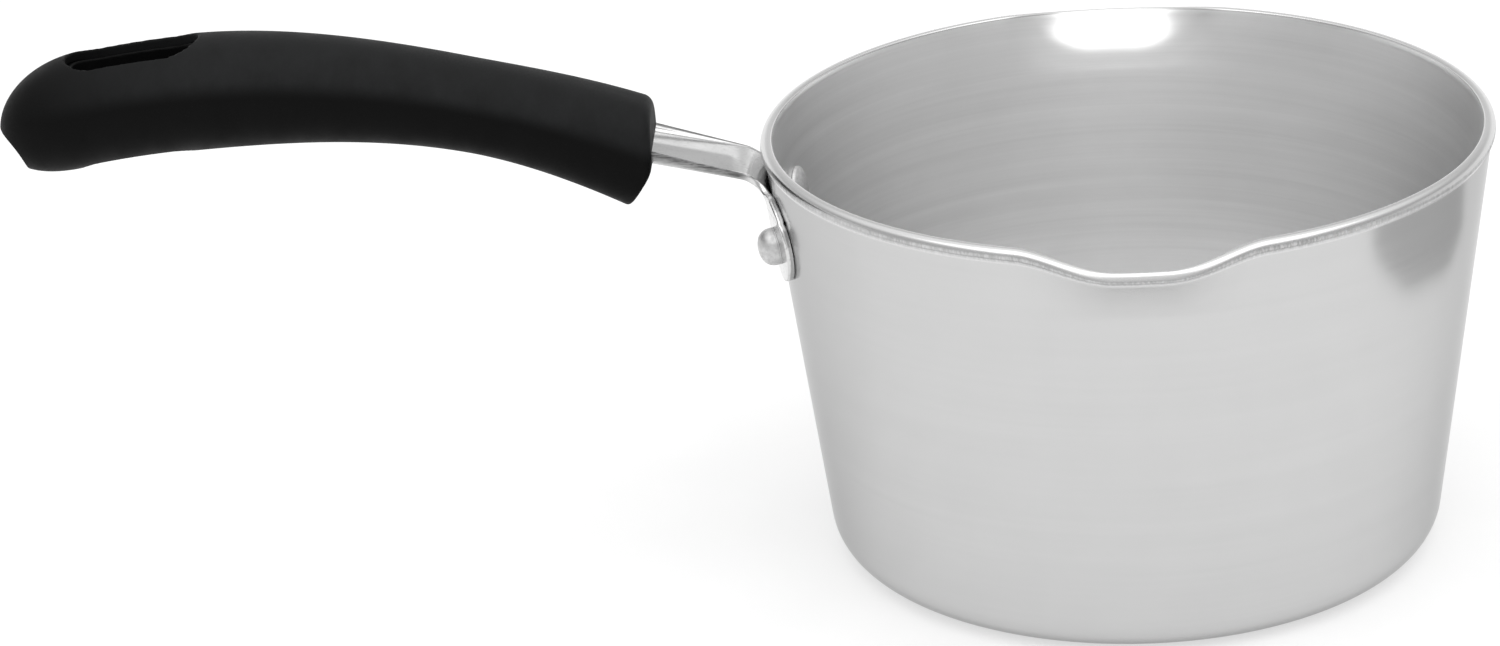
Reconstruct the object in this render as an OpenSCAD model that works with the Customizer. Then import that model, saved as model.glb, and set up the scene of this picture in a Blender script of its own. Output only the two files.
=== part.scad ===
// Riveted melting pot with two pressed spouts and a moulded side handle.
// Frame: origin on the pot's axis at the base plane, +Z up, handle toward -X,
// spouts at -Y and +Y. All lengths in millimetres.

/* [Pot] */
// Outside diameter of the rim
rim_d = 160; // [152:1:168]
// Height from the base to the rim
pot_h = 97; // [92:1:104]
// Outside diameter of the wall's line where it would meet the base plane
base_d = 135; // [128:1:140]
// Wall thickness
wall_t = 2.2; // [1.8:0.1:2.5]
// Floor thickness
floor_t = 2.6; // [2:0.1:3.5]
// Outside radius of the base corner
corner_r = 9; // [7:0.5:12]
// Height of the thick rim band
rim_band_h = 2.4; // [2:0.1:3]

/* [Spouts] */
// Outward push of a spout's lip
spout_out = 5.2; // [3:0.1:6.5]
// Dip of a spout's lip below the rim
spout_dip = 2.3; // [1:0.1:3]
// Half angle of a spout's even part
spout_flat = 3.5; // [2:0.5:6]
// Half angle at which a spout has run out
spout_half = 19.5; // [15:0.5:24]
// Height of the pressed part of the wall
spout_len = 15; // [12:0.5:22]

/* [Bracket] */
// Width of the strap
strap_w = 18; // [15:0.5:20]
// Thickness of the sheet
strap_t = 1.5; // [1.2:0.1:1.8]
// Rise of the strap away from the pot, in degrees
strap_tilt = 13; // [8:0.5:16]
// Distance below the rim at which strap and wall would meet
strap_drop = 7; // [6:0.5:9]
// Inside radius of the bend
bend_r = 6.3; // [4.5:0.1:7]
// Height of the strap's crown
crown_h = 0.4; // [0.2:0.1:0.6]
// Height of the lobe centres above the base
lobe_z = 79; // [76:0.5:80]
// Distance of the lobe centres from the middle plane
lobe_y = 17; // [15:0.5:19]
// Radius of the lobes
lobe_r = 9.3; // [8:0.1:10]
// Width of the tang inside the grip
tang_w = 13; // [10:0.5:14]
// Length of the tang inside the grip
tang_len = 70; // [50:1:74]
// Diameter of the two keying holes in the tang
key_hole_d = 5; // [3:0.5:6]

/* [Rivets] */
// Shank diameter
shank_d = 4.8; // [4:0.1:5.5]
// Outer head diameter
outer_head_d = 8.3; // [7.5:0.1:9.5]
// Outer head height
outer_head_h = 4.2; // [3:0.1:4.6]
// Inner head diameter
inner_head_d = 10; // [8:0.1:10.5]
// Inner head height
inner_head_h = 2; // [1.2:0.1:2.4]

/* [Grip] */
// Distance from the strap's corner to the front face
grip_gap = 24.7; // [20:0.1:28]
// Length of the grip
grip_len = 144.1; // [135:0.1:155]
// Height at the front face
grip_h_front = 26.2; // [24:0.2:28]
// Height at the waist
grip_h_waist = 20.8; // [20:0.1:23]
// Height at the belly
grip_h_belly = 25.4; // [24:0.2:28]
// Width at the front face
grip_w_front = 24; // [23:0.5:27]
// Width at the belly
grip_w_belly = 27.2; // [25:0.2:30]
// Radius of the curved centre line
arc_r = 207; // [190:1:240]
// Thickness of the outer grip over the core
skin_t = 2.2; // [1.8:0.1:2.6]
// Length of the hanging slot in the outer grip
slot_len = 29.8; // [26:0.2:32]
// Width of the hanging slot in the outer grip
slot_w = 14.4; // [12:0.2:15]
// Width of the core's lip inside the slot
slot_lip = 1.4; // [1:0.1:2]

/* [Hidden] */
$fn = 96;

// Wall: outside radius grows by slope for each millimetre of height
rim_r = rim_d / 2;
band_out = 0.4;
base_r = base_d / 2;
slope = (rim_r - band_out - base_r) / pot_h;
lean = atan(slope);
function wall_r(z) = base_r + slope * z;
function inner_r(z) = wall_r(z) - wall_t / cos(lean);
band_z = pot_h - rim_band_h;

// Base corner
corner_x = base_r + slope * corner_r - corner_r / cos(lean);
in_corner_r = corner_r - wall_t;
in_corner_z = floor_t + in_corner_r;
in_corner_x = inner_r(in_corner_z) - in_corner_r / cos(lean);

// Strap: corner point of the strap's top line and the wall line, the angle of the bend,
// its outside radius, the distance from the corner to its end, and the strap's straight run
hz = pot_h - strap_drop;
hx = -wall_r(hz);
turn = 90 - lean - strap_tilt;
bend_out = bend_r + strap_t;
bend_t = bend_out * tan(turn / 2);
strap_run = grip_gap / cos(strap_tilt) + 8;
leg_len = 9;

// Rivets
rivet_z = lobe_z - 1.4;
rivet_az = asin(lobe_y / wall_r(lobe_z));

// Grip: ends, top of the centre line, waist, start of the rounded tail, chin and slot
front_x = hx - grip_gap;
tail_x = front_x - grip_len;
apex_x = front_x - 88.8;
apex_z = hz + 22.6;
waist_run = 39.3;
waist_x = front_x - waist_run;
belly_run = 62;
nose_len = 19;
nose_x = tail_x + nose_len;
chin_z = hz + 3.1;
chin_a = 32;
slot_x = tail_x + 16 + slot_len / 2;

// Moulding notch across the tail
notch_r = 8;
notch_x = tail_x - 2;
notch_z = hz + 9;

function ease(u) = let (t = max(0, min(1, u))) t * t * (3 - 2 * t);
function mix(a, b, u) = a + (b - a) * u;

// ---------------------------------------------------------------- pot

// Outside shape of the vessel without the rim band
module vessel_outer_2d() {
    union() {
        polygon([
            [0, 0],
            [corner_x, 0],
            [corner_x + corner_r * cos(lean), corner_r - corner_r * sin(lean)],
            [wall_r(pot_h - 0.5), pot_h - 0.5],
            [0, pot_h - 0.5]
        ]);
        translate([corner_x, corner_r]) circle(r = corner_r);
    }
}

// Inside space of the vessel
module vessel_inner_2d() {
    union() {
        polygon([
            [0, floor_t],
            [in_corner_x, floor_t],
            [in_corner_x + in_corner_r * cos(lean), in_corner_z - in_corner_r * sin(lean)],
            [inner_r(pot_h + 2), pot_h + 2],
            [0, pot_h + 2]
        ]);
        translate([in_corner_x, in_corner_z]) circle(r = in_corner_r);
    }
}

// Height at which the round lower part ends, and the depth that the top ring reaches into it
cut_z = pot_h - spout_len - 0.6;
ring_tail = 0.6;
ring_inset = 0.07;

// Section of the thick rim band, pushed out and down by a spout
function band_points(push, dip) = [
    [wall_r(band_z) + push, band_z - dip],
    [rim_r + push, band_z + 0.5 - dip],
    [rim_r + push, pot_h - 0.35 - dip],
    [rim_r - 0.35 + push, pot_h - dip],
    [inner_r(pot_h) + 0.35 + push, pot_h - dip],
    [inner_r(pot_h - 0.35) + push, pot_h - 0.35 - dip]
];

// Lower part of the vessel, round all the way
module vessel_round() {
    rotate_extrude($fn = 180) intersection() {
        difference() {
            vessel_outer_2d();
            vessel_inner_2d();
        }
        square([rim_r + 10, cut_z]);
    }
}

// Top ring with the two spouts: one closed band of wall whose sections are pushed out and down.
// Its tail is set in a little from both faces and ends inside the lower part's wall.
ring_rows = 7;
spout_steps = 24;
plain_steps = 38;
function spout_share(a) = 1 - ease((a - spout_flat) / (spout_half - spout_flat));

// Angle from the middle of the nearest spout
function spout_angle(a) = abs((a + 90) % 180 - 90);

function wall_row(t, push, dip) =
    let (z = mix(cut_z + 0.4, band_z, t), g = pow(t, 1.7))
    [push * g, z, mix(cut_z + 0.4, band_z - dip, t)];

function ring_section(a) =
    let (
        share = spout_share(spout_angle(a)),
        push = spout_out * share,
        dip = spout_dip * share,
        rows = [for (i = [0 : ring_rows - 1]) wall_row(i / ring_rows, push, dip)],
        z0 = cut_z - ring_tail
    )
    concat(
        [[wall_r(z0) - ring_inset, z0], [wall_r(cut_z + 0.2) - ring_inset, cut_z + 0.2]],
        [for (w = rows) [wall_r(w[1]) + w[0], w[2]]],
        band_points(push, dip),
        [for (i = [ring_rows - 1 : -1 : 0]) [inner_r(rows[i][1]) + rows[i][0], rows[i][2]]],
        [[inner_r(cut_z + 0.2) + ring_inset, cut_z + 0.2], [inner_r(z0) + ring_inset, z0]]
    );

module top_ring() {
    half = spout_half + 0.9;
    fine = [for (i = [0 : spout_steps - 1]) -half + 2 * half * i / spout_steps];
    plain = [for (i = [0 : plain_steps - 1]) half + (180 - 2 * half) * i / plain_steps];
    angles = [for (turn_a = [0, 180]) for (a = concat(fine, plain)) a + turn_a];
    n = len(ring_section(0));
    m = len(angles);
    points = [
        for (a = angles)
            for (q = ring_section(a))
                [q[0] * cos(a - 90), q[0] * sin(a - 90), q[1]]
    ];
    faces = [
        for (i = [0 : m - 1])
            for (j = [0 : n - 1])
                let (
                    i2 = (i + 1) % m,
                    j2 = (j + 1) % n
                )
                for (f = [
                    [i * n + j, i * n + j2, i2 * n + j2],
                    [i * n + j, i2 * n + j2, i2 * n + j]
                ]) f
    ];
    polyhedron(points = points, faces = faces, convexity = 6);
}

// Moves a child that lies on the +Z axis to a rivet's place, square to the wall
module at_rivet(side) {
    rotate([0, 0, 180 + side * rivet_az])
    translate([wall_r(rivet_z), 0, rivet_z])
    rotate([0, 90 + lean, 0])
    children();
}

module pot_body() {
    color("silver") difference() {
        union() {
            vessel_round();
            top_ring();
        }
        for (side = [-1, 1]) {
            at_rivet(side) translate([0, 0, -6]) cylinder(d = shank_d, h = 12, $fn = 48);
        }
    }
}

// ---------------------------------------------------------------- bracket

// Outline of the pad in the plane across the handle
module pad_outline() {
    difference() {
        union() {
            translate([-lobe_y, lobe_z]) circle(r = lobe_r);
            translate([lobe_y, lobe_z]) circle(r = lobe_r);
            polygon([
                [-lobe_y, lobe_z - lobe_r + 0.4],
                [-strap_w / 2, lobe_z - lobe_r + 2.2],
                [strap_w / 2, lobe_z - lobe_r + 2.2],
                [lobe_y, lobe_z - lobe_r + 0.4],
                [lobe_y + 1, lobe_z + lobe_r - 0.6],
                [strap_w / 2 + 3, lobe_z + lobe_r - 0.5],
                [strap_w / 2, hz - 1],
                [strap_w / 2 - 1, hz + 0.4],
                [-strap_w / 2 + 1, hz + 0.4],
                [-strap_w / 2, hz - 1],
                [-strap_w / 2 - 3, lobe_z + lobe_r - 0.5],
                [-lobe_y - 1, lobe_z + lobe_r - 0.6]
            ]);
        }
        for (s = [-1, 1]) {
            translate([s * (strap_w / 2 + 6), lobe_z + lobe_r + 4.6]) circle(r = 6);
        }
    }
}

// Cone-shaped sheet against the wall from height a to height b
module wall_sheet(a, b, from, to) {
    rotate_extrude($fn = 180)
    polygon([
        [wall_r(a) + from / cos(lean), a],
        [wall_r(a) + to / cos(lean), a],
        [wall_r(b) + to / cos(lean), b],
        [wall_r(b) + from / cos(lean), b]
    ]);
}

module pad() {
    intersection() {
        wall_sheet(lobe_z - lobe_r - 3, hz - 3.4, 0, strap_t);
        translate([-rim_r - 10, 0, 0]) rotate([90, 0, 90]) linear_extrude(50) pad_outline();
    }
}

// Side view of the bent strap; local origin at the corner point, x toward the grip
module bend_2d() {
    cx = bend_t;
    cy = -bend_out;
    difference() {
        translate([cx, cy]) circle(r = bend_out);
        translate([cx, cy]) circle(r = bend_r);
        // cuts away all but the sector between the straight part and the wall part
        polygon([
            [cx, cy],
            [cx, cy + 40],
            [cx + 60, cy + 40],
            [cx + 60, cy - 60],
            [cx - 60, cy - 60],
            [cx - 60 * sin(turn), cy + 60 * cos(turn)]
        ]);
    }
}

// Leg lying along the wall, in the same local plane
module leg_2d() {
    rotate([0, 0, turn - 180])
    translate([bend_t - 0.01, 0])
    square([leg_len, strap_t]);
}

// Bend and straight part
module strap_side_2d() {
    bend_2d();
    translate([bend_t - 0.01, -strap_t]) square([strap_run, strap_t]);
}

// Strap frame: x along the strap away from the pot, y square to its face, z across
module strap_frame() {
    translate([hx - 0.05, 0, hz])
    rotate([0, 0, 180])
    rotate([90, 0, 0])
    rotate([0, 0, strap_tilt])
    children();
}

// Extrudes a side view across the handle
module in_strap_plane(w) {
    strap_frame() translate([0, 0, -w / 2]) linear_extrude(w) children();
}

module strap() {
    in_strap_plane(strap_w) strap_side_2d();
    in_strap_plane(strap_w) leg_2d();
    // shallow crown along the strap
    strap_frame()
    translate([bend_t + 0.8, 0, 0])
    rotate([0, 90, 0])
    linear_extrude(strap_run - 0.9)
    polygon([
        [-strap_w / 2 + 0.8, -0.4],
        [strap_w / 2 - 0.8, -0.4],
        [strap_w / 2 - 0.8, 0.02],
        [0, crown_h],
        [-strap_w / 2 + 0.8, 0.02]
    ]);
}

// Straight tang with two holes that the core fills
module tang() {
    difference() {
        in_strap_plane(tang_w) {
            translate([bend_t + strap_run - 0.5, -strap_t]) square([tang_len - 4, strap_t]);
        }
        strap_frame() {
            for (i = [0, 1]) {
                translate([bend_t + strap_run + tang_len * (0.35 + 0.4 * i), 1, 0])
                rotate([90, 0, 0])
                cylinder(d = key_hole_d, h = 4, $fn = 48);
            }
        }
    }
}

module handle_bracket() {
    color("gainsboro") difference() {
        union() {
            pad();
            strap();
            tang();
        }
        for (side = [-1, 1]) {
            at_rivet(side) translate([0, 0, -6]) cylinder(d = shank_d, h = 12, $fn = 48);
        }
    }
}

// ---------------------------------------------------------------- rivets

// One rivet, drawn along +Z with the wall's outside face at z = 0
module rivet_shape(side) {
    union() {
        at_rivet(side)
        translate([0, 0, -wall_t - 0.3])
        cylinder(d = shank_d, h = wall_t + strap_t + 0.6, $fn = 48);
        // outer head: short skirt and dome, seated on the pad
        difference() {
            at_rivet(side) outer_head();
            wall_sheet(lobe_z - lobe_r - 8, hz + 4, -3, strap_t);
        }
        // inner head: low dome, seated on the inside of the wall
        difference() {
            at_rivet(side) inner_head();
            wall_sheet(lobe_z - lobe_r - 8, hz + 4, -wall_t, 3);
        }
    }
}

module outer_head() {
    r = outer_head_d / 2;
    skirt = 0.5;
    h = outer_head_h - skirt;
    sphere_r = (r * r + h * h) / (2 * h);
    translate([0, 0, strap_t - 0.4]) cylinder(r = r, h = skirt + 0.4, $fn = 64);
    intersection() {
        translate([0, 0, strap_t + skirt + h - sphere_r]) sphere(r = sphere_r, $fn = 96);
        translate([0, 0, strap_t + skirt - 0.01]) cylinder(r = r, h = h + 1, $fn = 64);
    }
}

module inner_head() {
    r = inner_head_d / 2;
    skirt = 0.35;
    h = inner_head_h - skirt;
    sphere_r = (r * r + h * h) / (2 * h);
    rotate([180, 0, 0]) {
        translate([0, 0, wall_t - 0.4]) cylinder(r = r, h = skirt + 0.4, $fn = 64);
        intersection() {
            translate([0, 0, wall_t + skirt + h - sphere_r]) sphere(r = sphere_r, $fn = 96);
            translate([0, 0, wall_t + skirt - 0.01]) cylinder(r = r, h = h + 1, $fn = 64);
        }
    }
}

module rivet_near() {
    color("whitesmoke") rivet_shape(1);
}

module rivet_far() {
    color("whitesmoke") rivet_shape(-1);
}

// ---------------------------------------------------------------- grip

// Height of the centre line, on a circle through the grip
function grip_zc(x) = apex_z - arc_r + sqrt(arc_r * arc_r - (x - apex_x) * (x - apex_x));

// Half height and half width of the section at x, without the rounded tail
function grip_hh(x) =
    x > waist_x
        ? mix(grip_h_waist, grip_h_front, pow((x - waist_x) / waist_run, 1.6)) / 2
        : mix(grip_h_waist, grip_h_belly, ease((waist_x - x) / belly_run)) / 2;
function grip_hw(x) = mix(grip_w_front, grip_w_belly, ease((waist_x + 20 - x) / 80)) / 2;

// Sections stand across the handle. The body runs to the nose, then closes in a cap that is a
// little fuller than an ellipse.
body_steps = 22;
cap_steps = 9;
cap_e = 0.89;
grip_sides = 40;
front_round = 1.6;

// Loft of the grip; skin is the distance inward from the outside surface
module grip_loft(skin, sides, seat) {
    rows = concat(
        [for (i = [0 : 3]) let (a = 30 * i)
            [front_x - seat - front_round * (1 - cos(a)), front_round * (1 - sin(a)), 1]],
        [for (i = [1 : body_steps])
            [mix(front_x - seat - front_round, nose_x, i / body_steps), 0, 1]],
        [for (i = [1 : cap_steps]) let (a = 87 * i / cap_steps)
            [nose_x - (nose_len - skin) * pow(sin(a), cap_e), 0, pow(cos(a), cap_e)]]
    );
    n = len(rows);
    points = [
        for (r = rows)
            let (
                x = r[0],
                hh = (grip_hh(x) - skin - r[1]) * r[2],
                hw = (grip_hw(x) - skin - r[1]) * r[2],
                zc = grip_zc(x)
            )
            for (k = [0 : sides - 1])
                let (
                    a = 360 * k / sides,
                    ca = cos(a),
                    sa = sin(a),
                    e = mix(0.95, 0.8, ease((x - waist_x) / 36))
                )
                [x, hw * sign(ca) * pow(abs(ca), e), zc + hh * sign(sa) * pow(abs(sa), e)]
    ];
    sides_f = [
        for (i = [0 : n - 2])
            for (k = [0 : sides - 1])
                for (f = [
                    [i * sides + k, (i + 1) * sides + (k + 1) % sides, (i + 1) * sides + k],
                    [i * sides + k, i * sides + (k + 1) % sides, (i + 1) * sides + (k + 1) % sides]
                ]) f
    ];
    front = [[for (k = [sides - 1 : -1 : 0]) k]];
    back = [[for (k = [0 : sides - 1]) (n - 1) * sides + k]];
    polyhedron(points = points, faces = concat(sides_f, front, back), convexity = 4);
}

// Half space in front of the slanted chin, moved back by d
module chin_cut(d) {
    translate([front_x - d, -30, chin_z])
    rotate([0, -90 + chin_a, 0])
    mirror([0, 0, 1])
    translate([-60, 0, 0])
    cube([60, 60, 40]);
}

// Stadium-shaped through hole
module slot(len, w) {
    for (s = [-1, 1]) {
        translate([slot_x + s * (len - w) / 2, 0, apex_z - 45]) cylinder(d = w, h = 80, $fn = 64);
    }
    translate([slot_x - (len - w) / 2, -w / 2, apex_z - 45]) cube([len - w, w, 80]);
}

module core_body() {
    difference() {
        grip_loft(skin_t, 28, skin_t + 0.6);
        chin_cut(skin_t + 1.2);
        tail_notch(skin_t);
    }
}

module grip_core() {
    color("dimgray") difference() {
        core_body();
        tang();
        strap();
        slot(slot_len - 2 * slot_lip, slot_w - 2 * slot_lip);
    }
}

module grip_sleeve() {
    color("black") difference() {
        grip_loft(0, grip_sides, 0);
        chin_cut(0);
        core_body();
        strap();
        slot(slot_len, slot_w);
        tail_notch(0);
    }
}

// Moulding notch across the tail, low down; grow is the thickness of skin left over the core
module tail_notch(grow) {
    translate([notch_x, 0, notch_z])
    rotate([90, 0, 0])
    cylinder(r = notch_r + grow, h = grip_w_belly + 3, center = true, $fn = 64);
}

pot_body();
handle_bracket();
rivet_near();
rivet_far();
grip_core();
grip_sleeve();
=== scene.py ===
"""Candle melting pot: the looks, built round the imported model.

Shapes are worked out in millimetres in the model's own frame and enter the scene in metres.
The pot's axis is Z and its base rests on z = 0. The handle points toward -X, and the spouts
point toward -Y and +Y.
"""

import math

import bpy
import numpy as np
from mathutils import Matrix, Vector


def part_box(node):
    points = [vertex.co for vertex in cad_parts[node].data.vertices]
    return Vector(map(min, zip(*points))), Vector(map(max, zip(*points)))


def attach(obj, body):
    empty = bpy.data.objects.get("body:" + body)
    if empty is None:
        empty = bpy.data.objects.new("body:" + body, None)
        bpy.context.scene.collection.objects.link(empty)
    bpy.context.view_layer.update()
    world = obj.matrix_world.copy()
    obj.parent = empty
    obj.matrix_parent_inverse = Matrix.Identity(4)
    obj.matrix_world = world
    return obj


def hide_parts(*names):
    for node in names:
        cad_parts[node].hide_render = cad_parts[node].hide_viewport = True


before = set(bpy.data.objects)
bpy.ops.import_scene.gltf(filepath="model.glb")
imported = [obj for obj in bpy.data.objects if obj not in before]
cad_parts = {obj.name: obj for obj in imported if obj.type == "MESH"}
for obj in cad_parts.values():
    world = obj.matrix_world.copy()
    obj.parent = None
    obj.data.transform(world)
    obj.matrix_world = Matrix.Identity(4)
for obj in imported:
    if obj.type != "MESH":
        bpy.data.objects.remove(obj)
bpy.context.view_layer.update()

MM = 0.001
BODY = "root"


# ---------------------------------------------------------------- sizes, in millimetres

def node_box(node):
    """Lowest and highest corner of a node in millimetres."""
    low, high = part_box(node)
    return np.array(low) / MM, np.array(high) / MM


pot_low, pot_high = node_box("pot_body")
grip_high = node_box("grip_sleeve")[1]

# Pot
POT_H = pot_high[2]
RIM_R = -pot_low[0]
WALL_T = 2.2
FLOOR_T = 2.6
CORNER_R = 9.0
BASE_R = 67.5
BAND_H = 2.4
BAND_OUT = 0.4
RIM_ROUND_OUT = 1.6
RIM_ROUND_IN = 0.5
MIDDLE_R = 0.4
TOP_ZONE = 17.0
POT_STEPS = 600
SLOPE = (RIM_R - BAND_OUT - BASE_R) / POT_H
LEAN = math.atan(SLOPE)
BAND_Z = POT_H - BAND_H

# Spouts
SPOUT_OUT = pot_high[1] - RIM_R
SPOUT_DIP = 2.3
SPOUT_FLAT = 3.5
SPOUT_HALF = 19.5
SPOUT_LEN = 15.2
WALL_CURVE = 1.35
LIP_TILT = 0.8
LIP_FLARE = 1.25
LIP_CURVE = 2.4

# Bracket
STRAP_W = 18.0
STRAP_T = 1.5
STRAP_IN = 8.0
STRAP_TILT = math.radians(13)
STRIP_EDGE_R = 0.25
STRIP_STEP = 0.4
BEND_R = 6.3
CROWN_H = 0.4
PAD_GAP = 0.05
LOBE_Z = 79.0
LOBE_Y = 17.0
LOBE_W = LOBE_Y * 1.008
LOBE_R = 9.3
LOBE_FILLET = 1.5
SHOULDER_FILLET = 4.5
BRIDGE_RISE = 2.0
BRIDGE_DROP = 1.2
HOLE_GAP = 0.03
TANG_W = 13.0
TANG_LEN = 65.5
TANG_ROUND = 1.0
TANG_OVERLAP = 3
KEY_HOLE_R = 2.5
KEY_HOLES = (24.5, 52.5)

# Rivets
SHANK_R = 2.4
OUTER_HEAD_R = 4.15
OUTER_HEAD_H = 4.2
INNER_HEAD_R = 5.0
INNER_HEAD_H = 2.0
RIVET_Z = LOBE_Z - 1.4
RIVET_STEPS = 72

# Grip
FRONT_X = grip_high[0]
TAIL_X = FRONT_X - 144.1
GRIP_HEIGHTS = {"front": 26.2, "waist": 20.8, "belly": 25.4}
GRIP_WIDTHS = {"front": 24.0, "belly": 27.2}
GRIP_Z = (76.0, 127.0)
GRIP_STEP = 0.41
FRONT_CURVE = 1.6
WIDTH_RUN = (20.0, 80.0)
OVAL_E = 0.95
FRONT_E = 0.8
SQUARING_RUN = 36.0
ARC_R = 207.0
SKIN_T = 2.2
WAIST_RUN = 39.3
BELLY_RUN = 62.0
NOSE_LEN = 19.0
CAP_POWER = 2 / 0.89
CHIN_A = math.radians(32)
SLOT_LEN = 29.8
SLOT_W = 14.4
SLOT_LIP = 1.4
CORE_BACK = SKIN_T + 0.6
CORE_CHIN = SKIN_T + 1.2
CORE_ROUND = 0.5
SLEEVE_GAP = 0.03
STRAP_GAP = 0.25
CORE_STRAP_GAP = 0.02
MOUTH_ROUND = 1.7
CHIN_ROUND = 0.9
SLOT_ROUND = 0.35
NOTCH_ROUND = 0.4
STRAP_HOLE_ROUND = 0.2


def wall_r(z):
    """Outside radius of the pot's wall at a height."""
    return BASE_R + SLOPE * z


def inner_r(z):
    """Inside radius of the pot's wall at a height."""
    return wall_r(z) - WALL_T / math.cos(LEAN)


HZ = POT_H - 7.0
HX = -wall_r(HZ) - PAD_GAP
TURN = math.pi / 2 - LEAN - STRAP_TILT
BEND_OUT = BEND_R + STRAP_T
BEND_T = BEND_OUT * math.tan(TURN / 2)
BEND_LEN = BEND_OUT * TURN
STRAP_RUN = (HX + PAD_GAP - FRONT_X) / math.cos(STRAP_TILT) + STRAP_IN
STRAP_END = BEND_LEN + STRAP_RUN

APEX_X = FRONT_X - 88.8
APEX_Z = HZ + 22.6
WAIST_X = FRONT_X - WAIST_RUN
NOSE_X = TAIL_X + NOSE_LEN
CHIN_Z = HZ + 3.1
SLOT_X = TAIL_X + 16.0 + SLOT_LEN / 2
NOTCH = (TAIL_X - 2.0, HZ + 9.0, 8.0)


def ease(u):
    """Smooth step from 0 to 1."""
    t = np.clip(u, 0, 1)
    return t * t * (3 - 2 * t)


def mix(a, b, u):
    """The value that lies u of the way from a to b."""
    return a + (b - a) * u


# ---------------------------------------------------------------- camera

def make_camera():
    """A long lens, a little above the rim, with a slight roll."""
    place = Vector((-0.0288, -0.9172, 0.4298))
    forward = Vector((-0.0563, 0.9233, -0.3800)).normalized()
    right = forward.cross(Vector((0, 0, 1))).normalized()
    up = right.cross(forward)
    roll = math.radians(-3.5)
    right, up = (
        math.cos(roll) * right + math.sin(roll) * up,
        math.cos(roll) * up - math.sin(roll) * right,
    )
    data = bpy.data.cameras.new("camera")
    data.sensor_width = 36
    data.lens = 106.66
    data.clip_start = 0.01
    data.clip_end = 50
    camera = bpy.data.objects.new("camera", data)
    turn = Matrix((right, up, -forward)).transposed()
    camera.matrix_world = Matrix.Translation(place) @ turn.to_4x4()
    bpy.context.scene.collection.objects.link(camera)
    bpy.context.scene.camera = camera


# ---------------------------------------------------------------- mesh tools

def make_piece(name, points, faces, slot, materials, replaced):
    """A shaded mesh that rides on the body and stands for the named nodes."""
    mesh = bpy.data.meshes.new(name)
    mesh.from_pydata((np.asarray(points) * MM).tolist(), [], [list(map(int, f)) for f in faces])
    mesh.validate()
    mesh.shade_smooth()
    piece = bpy.data.objects.new(name, mesh)
    bpy.context.scene.collection.objects.link(piece)
    for material in materials:
        mesh.materials.append(material)
    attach(piece, BODY)
    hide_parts(*replaced)
    return piece


def add_values(mesh, name, values):
    """Stores one number for each vertex, for the materials to read."""
    attribute = mesh.attributes.new(name, "FLOAT", "POINT")
    attribute.data.foreach_set("value", np.asarray(values, np.float32))


def arc(centre, radius, start, end, steps):
    """Points on an arc in the profile plane, both ends included; angles in degrees."""
    angles = np.radians(np.linspace(start, end, steps + 1))
    return [(centre[0] + radius * math.cos(a), centre[1] + radius * math.sin(a)) for a in angles]


def line(a, b, steps):
    """Points from a up to, but not including, b."""
    return [(mix(a[0], b[0], t), mix(a[1], b[1], t)) for t in np.arange(steps) / steps]


def lathe_faces(steps, count):
    """Faces of a turned solid: quads round its profile, and a fan round each end's middle point.

    Its points come step by step, count of them to a step, and the two middle points come last."""
    i, j = np.meshgrid(np.arange(steps), np.arange(count - 1), indexing="ij")
    here = i * count + j
    beside = (i + 1) % steps * count + j
    quads = np.stack([here, beside, beside + 1, here + 1], -1).reshape(-1, 4)
    faces = [tuple(quad) for quad in quads]
    for k in range(steps):
        near = k * count
        far = (k + 1) % steps * count
        faces.append((steps * count, far, near))
        faces.append((steps * count + 1, near + count - 1, far + count - 1))
    return faces


def surface_net(field, low, step):
    """Quads round the zero surface of a sampled field: one vertex in each cell that it crosses."""
    shape = np.array(field.shape)
    cells = shape - 1
    total = np.zeros((cells.prod(), 3))
    count = np.zeros(cells.prod())
    quads = []

    def flat(cell):
        return np.ravel_multi_index(cell.T, cells)

    for axis in range(3):
        lower = np.take(field, np.arange(shape[axis] - 1), axis)
        upper = np.take(field, np.arange(1, shape[axis]), axis)
        hit = (lower < 0) != (upper < 0)
        at = np.argwhere(hit)
        start, end = lower[hit], upper[hit]
        point = at.astype(float)
        point[:, axis] += start / (start - end)
        u, v = (axis + 1) % 3, (axis + 2) % 3
        corners = []
        for du, dv in ((1, 1), (0, 1), (0, 0), (1, 0)):
            cell = at.copy()
            cell[:, u] -= du
            cell[:, v] -= dv
            index = flat(cell)
            corners.append(index)
            for k in range(3):
                total[:, k] += np.bincount(index, point[:, k], len(count))
            count += np.bincount(index, minlength=len(count))
        quad = np.stack(corners, 1)
        quad[start >= 0] = quad[start >= 0][:, ::-1]
        quads.append(quad)
    used = np.flatnonzero(count)
    number = np.zeros(len(count), int)
    number[used] = np.arange(len(used))
    points = low + (total[used] / count[used, None]) * step
    return points, number[np.vstack(quads)]


def gradient(field, p, value, h=0.03):
    """Slope of a field at each point, from its value there and three short steps."""
    parts = []
    for k in range(3):
        d = np.zeros(3)
        d[k] = h
        parts.append((field(p + d) - value) / h)
    return np.stack(parts, -1)


def neighbour_mean(points, quads):
    """Mean place of the neighbours of each vertex."""
    start, end = quads.ravel(), np.roll(quads, -1, 1).ravel()
    count = np.bincount(start, minlength=len(points))
    sums = [np.bincount(start, points[end, k], len(points)) for k in range(3)]
    return np.stack(sums, -1) / count[:, None]


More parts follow.
